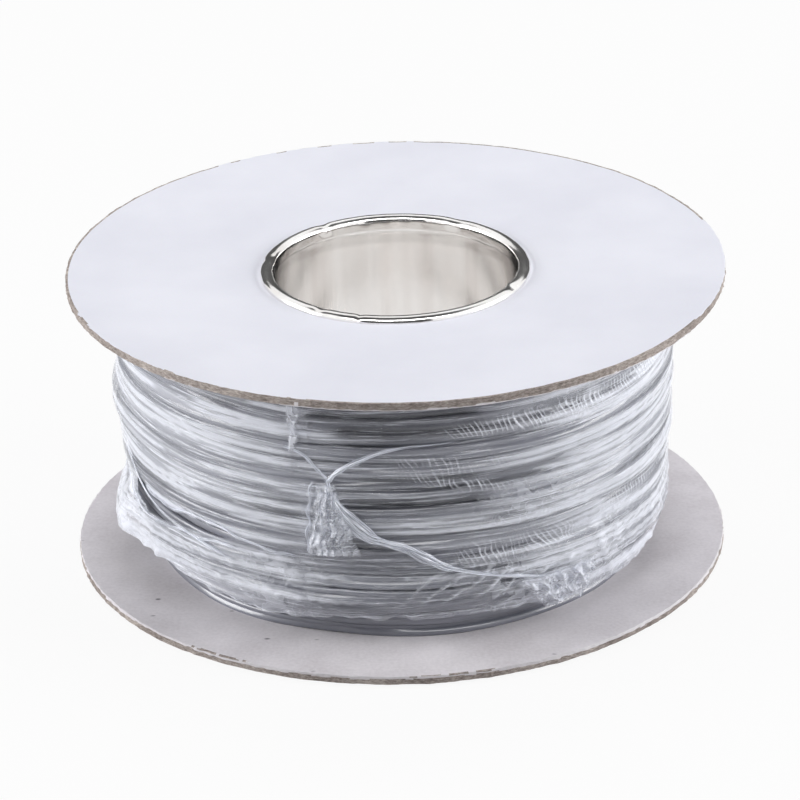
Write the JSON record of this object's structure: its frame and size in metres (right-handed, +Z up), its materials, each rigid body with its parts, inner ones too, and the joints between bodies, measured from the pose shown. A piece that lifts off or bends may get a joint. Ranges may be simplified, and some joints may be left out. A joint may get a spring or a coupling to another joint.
{
  "type": "reel of two-core data cable",
  "caption": "Reel of flat twin-core data cable, wound on a tinplate core between laminated cardboard flanges and wrapped in clear stretch film.",
  "frame": {"origin": "centre of the circle on which the lower rim stands, on the core's axis", "axes": "+Z up along the core's axis; +X to the right and +Y to the back, where the cable's cut end lies"},
  "size_m": [0.2, 0.2, 0.0914],
  "materials": {
    "laminated_board": "matte white paper over greyboard",
    "tinplate": "bright rolled tinplate",
    "grey_pvc": "extruded grey PVC, satin",
    "copper": "cut bare copper",
    "stretch_film": "clear glossy stretch film"
  },
  "bodies": {
    "root": {"top_flange": "laminated_board", "bottom_flange": "laminated_board", "core_tube": "tinplate", "cable_winding": "grey_pvc", "cable_end": "grey_pvc", "conductor_lower": "copper", "conductor_upper": "copper", "film_wrap": "stretch_film"}
  },
  "joints": []
}
